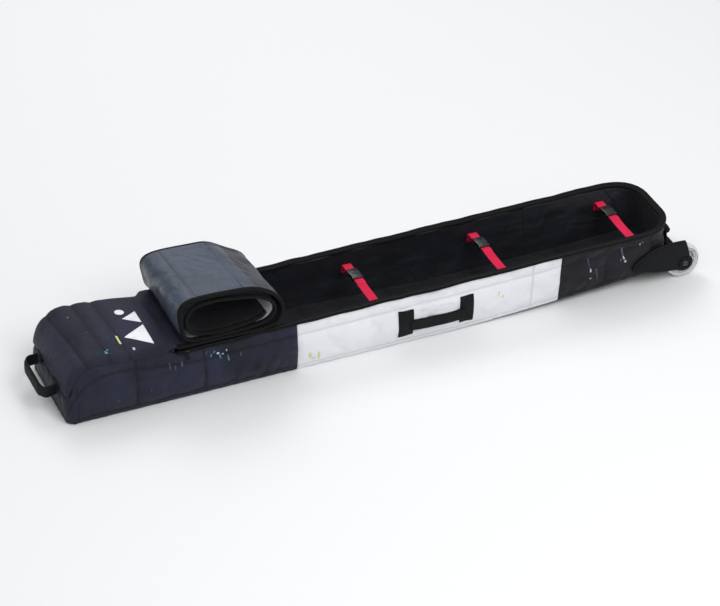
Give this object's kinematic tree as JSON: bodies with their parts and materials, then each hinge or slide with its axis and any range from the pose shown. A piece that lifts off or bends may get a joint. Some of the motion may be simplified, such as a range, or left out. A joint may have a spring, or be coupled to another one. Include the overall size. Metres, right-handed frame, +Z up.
{
  "type": "ski bag",
  "caption": "Long padded wheeled ski bag lying open, its lid rolled back on the closed nose, with inner webbing straps, grab handles and a moulded wheeled tail.",
  "frame": {"origin": "on the ground and on the flat underside of the base, on the bag's centreline near the middle of its length", "axes": "+X along the bag from the closed nose to the wheeled tail, +Y to the side away from the viewer, +Z up"},
  "size_m": [1.8574, 0.3086, 0.303],
  "materials": {
    "navy_fabric": "matte quilted polyester, dark navy",
    "charcoal_fabric": "matte polyester, charcoal",
    "white_fabric": "coated polyester, white",
    "lining_fabric": "dark padded lining",
    "sheen_lining": "smooth grey-blue lining with a sheen",
    "binding_tape": "ribbed black binding and zip tape",
    "black_webbing": "woven black webbing",
    "red_webbing": "woven pinkish red webbing",
    "black_plastic": "moulded black acetal",
    "chassis_plastic": "fine-textured charcoal moulding",
    "wheel_tyre": "milky polyurethane",
    "wheel_core": "pale grey moulding",
    "steel": "plain steel"
  },
  "bodies": {
    "shell": {"base_panel": "charcoal_fabric", "floor_pad": "lining_fabric", "side_panel_near_nose": "navy_fabric", "side_panel_near_middle": "white_fabric", "side_panel_near_tail": "charcoal_fabric", "side_panel_far_nose": "navy_fabric", "side_panel_far_middle": "white_fabric", "side_panel_far_tail": "charcoal_fabric", "nose_end_panel": "navy_fabric", "nose_deck": "navy_fabric", "tail_end_panel": "charcoal_fabric", "zip_tape_near": "binding_tape", "zip_tape_far": "binding_tape", "zip_tape_tail": "binding_tape", "side_handle_patch_near_front": "black_webbing", "side_handle_patch_near_rear": "black_webbing", "side_handle_patch_far_front": "black_webbing", "side_handle_patch_far_rear": "black_webbing", "strap_short_front": "red_webbing", "strap_short_middle": "red_webbing", "strap_short_rear": "red_webbing", "strap_long_front": "red_webbing", "strap_long_middle": "red_webbing", "strap_long_rear": "red_webbing", "buckle_socket_front": "black_plastic", "buckle_socket_middle": "black_plastic", "buckle_socket_rear": "black_plastic", "wheel_chassis": "chassis_plastic", "fender_near": "chassis_plastic", "fender_far": "chassis_plastic", "axle_near": "steel", "axle_far": "steel", "nose_handle_patch_near": "black_webbing", "nose_handle_patch_far": "black_webbing", "tail_handle_patch_near": "black_webbing", "tail_handle_patch_far": "black_webbing"},
    "lid_base": {"lid_base_panel": "sheen_lining"},
    "lid_roll": {"lid_roll_panel": "sheen_lining", "lid_roll_binding_near": "binding_tape", "lid_roll_binding_far": "binding_tape"},
    "nose_handle": {"nose_handle_grip": "black_webbing"},
    "tail_handle": {"tail_handle_grip": "black_webbing"},
    "wheel_near": {"tyre_near": "wheel_tyre", "wheel_hub_near": "wheel_core", "bearing_inner_near": "steel", "bearing_outer_near": "steel"},
    "side_handle_near": {"side_handle_grip_near": "black_webbing"},
    "zip_slider_near": {"zip_slider_near": "black_plastic"},
    "zip_pull_near": {"zip_pull_near": "black_webbing"},
    "wheel_far": {"tyre_far": "wheel_tyre", "wheel_hub_far": "wheel_core", "bearing_inner_far": "steel", "bearing_outer_far": "steel"},
    "side_handle_far": {"side_handle_grip_far": "black_webbing"},
    "zip_slider_far": {"zip_slider_far": "black_plastic"},
    "zip_pull_far": {"zip_pull_far": "black_webbing"},
    "buckle_tongue_front": {"buckle_tongue_front": "black_plastic"},
    "buckle_tongue_middle": {"buckle_tongue_middle": "black_plastic"},
    "buckle_tongue_rear": {"buckle_tongue_rear": "black_plastic"}
  },
  "joints": [
    {"name": "lid_lift", "type": "hinge", "parent": "shell", "child": "lid_base", "pos_m": [-0.538, 0, 0.1585], "axis": [0, -1, 0], "range_deg": [0, 75]},
    {"name": "lid_roll_turn", "type": "hinge", "parent": "lid_base", "child": "lid_roll", "pos_m": [-0.305, 0, 0.2285], "axis": [0, 1, 0], "range_deg": [0, 170]},
    {"name": "wheel_near_spin", "type": "hinge", "parent": "shell", "child": "wheel_near", "pos_m": [0.935, -0.103, 0.05], "axis": [0, 1, 0], "continuous": true},
    {"name": "side_handle_near_swing", "type": "hinge", "parent": "shell", "child": "side_handle_near", "pos_m": [0.1935, -0.145, 0.075], "axis": [-1, 0, 0], "range_deg": [0, 110]},
    {"name": "zip_slider_near_travel", "type": "slide", "parent": "shell", "child": "zip_slider_near", "axis": [0.9996, 0, 0.0275], "range_m": [0, 1.3]},
    {"name": "zip_pull_near_flip", "type": "hinge", "parent": "zip_slider_near", "child": "zip_pull_near", "pos_m": [-0.505, -0.1478, 0.14383], "axis": [-1, 0, 0], "range_deg": [0, 90]},
    {"name": "wheel_far_spin", "type": "hinge", "parent": "shell", "child": "wheel_far", "pos_m": [0.935, 0.103, 0.05], "axis": [0, 1, 0], "continuous": true},
    {"name": "side_handle_far_swing", "type": "hinge", "parent": "shell", "child": "side_handle_far", "pos_m": [0.1935, 0.145, 0.075], "axis": [1, 0, 0], "range_deg": [0, 110]},
    {"name": "zip_slider_far_travel", "type": "slide", "parent": "shell", "child": "zip_slider_far", "axis": [0.9996, 0, 0.0275], "range_m": [0, 1.3]},
    {"name": "zip_pull_far_flip", "type": "hinge", "parent": "zip_slider_far", "child": "zip_pull_far", "pos_m": [-0.505, 0.1478, 0.14383], "axis": [1, 0, 0], "range_deg": [0, 90]},
    {"name": "nose_handle_swing", "type": "hinge", "parent": "shell", "child": "nose_handle", "pos_m": [-0.8534, 0, 0.072], "axis": [0, 1, 0], "range_deg": [-40, 40]},
    {"name": "tail_handle_swing", "type": "hinge", "parent": "shell", "child": "tail_handle", "pos_m": [0.897, 0, 0.137], "axis": [0, -1, 0], "range_deg": [0, 75]},
    {"name": "buckle_front_release", "type": "slide", "parent": "shell", "child": "buckle_tongue_front", "axis": [0, 1, 0], "range_m": [0, 0.028]},
    {"name": "buckle_middle_release", "type": "slide", "parent": "shell", "child": "buckle_tongue_middle", "axis": [0, 1, 0], "range_m": [0, 0.028]},
    {"name": "buckle_rear_release", "type": "slide", "parent": "shell", "child": "buckle_tongue_rear", "axis": [0, 1, 0], "range_m": [0, 0.028]}
  ]
}
